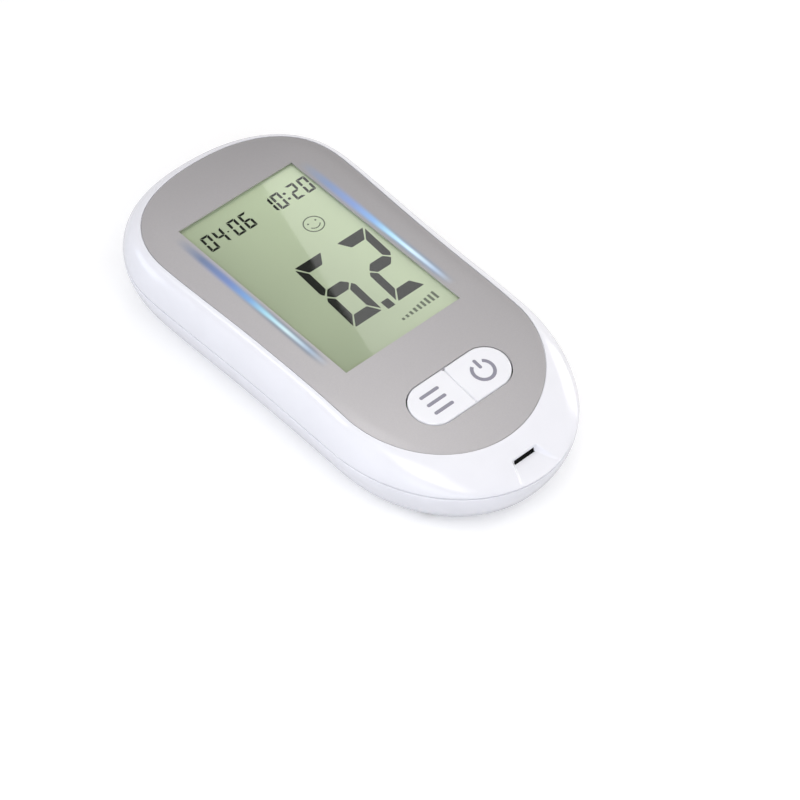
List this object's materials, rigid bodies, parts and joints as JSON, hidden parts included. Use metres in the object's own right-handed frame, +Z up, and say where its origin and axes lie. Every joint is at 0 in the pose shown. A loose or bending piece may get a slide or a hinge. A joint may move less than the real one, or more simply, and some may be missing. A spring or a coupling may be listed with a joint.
{
  "type": "blood glucose meter",
  "caption": "Hand-held blood glucose meter: pebble-shaped white case, grey face with display, side lights, two press keys, strip port at the nose and a hinged battery door on the back.",
  "frame": {"origin": "on the surface that the meter rests on, under the middle of its outline", "axes": "+X to the right of the face, +Y along the meter from the strip port to the far end, +Z up out of the face"},
  "size_m": [0.0524, 0.1066, 0.0197],
  "materials": {
    "shell_white": "polished moulded white",
    "overlay_grey": "satin printed film",
    "clear_lens": "clear polished",
    "light_guide": "clear, lit blue from inside",
    "lcd_glass": "polarised glass, green-grey",
    "backlight_white": "milky light panel",
    "frame_black": "fine spark texture",
    "contact_rubber": "layered silicone",
    "board_green": "solder mask",
    "chip_black": "moulded epoxy",
    "chip_ceramic": "fired ceramic",
    "led_package": "clear epoxy",
    "bright_steel": "nickel plated",
    "contact_gold": "gold plated spring strip",
    "connector_ivory": "moulded",
    "key_white": "polished moulded white",
    "cell_sleeve": "plain printed sleeve",
    "foot_rubber": "soft matt"
  },
  "bodies": {
    "meter": {"front_cover": "shell_white", "rear_cover": "shell_white", "face_overlay": "overlay_grey", "display_lens": "clear_lens", "light_guide_left": "light_guide", "light_guide_right": "light_guide", "lcd_front_glass": "lcd_glass", "lcd_rear_glass": "lcd_glass", "backlight_panel": "backlight_white", "lcd_frame": "frame_black", "zebra_strip": "contact_rubber", "circuit_board": "board_green", "microcontroller": "chip_black", "memory_chip": "chip_black", "crystal": "bright_steel", "chip_resistors": "chip_ceramic", "chip_capacitors": "chip_ceramic", "side_leds": "led_package", "buzzer": "frame_black", "key_dome_left": "bright_steel", "key_dome_right": "bright_steel", "strip_connector": "connector_ivory", "strip_contacts": "contact_gold", "battery_cell_left": "cell_sleeve", "battery_cell_right": "cell_sleeve", "battery_positive_contact": "bright_steel", "battery_negative_contact": "bright_steel", "battery_link_plate": "bright_steel", "case_screws": "bright_steel", "board_screws": "bright_steel", "rubber_feet": "foot_rubber"},
    "left_key": {"left_key": "key_white"},
    "right_key": {"right_key": "key_white"},
    "battery_door": {"battery_door": "shell_white"}
  },
  "joints": [
    {"name": "left_key_press", "type": "slide", "parent": "meter", "child": "left_key", "axis": [0, 0, -1], "range_m": [0, 0.0004], "stiffness_N_per_m": 4000, "deforming": ["key_dome_left"]},
    {"name": "right_key_press", "type": "slide", "parent": "meter", "child": "right_key", "axis": [0, 0, -1], "range_m": [0, 0.0004], "stiffness_N_per_m": 4000, "deforming": ["key_dome_right"]},
    {"name": "battery_door_hinge", "type": "hinge", "parent": "meter", "child": "battery_door", "pos_m": [0, 0.0326, 0.0013], "axis": [1, 0, 0], "range_deg": [0, 90]}
  ]
}
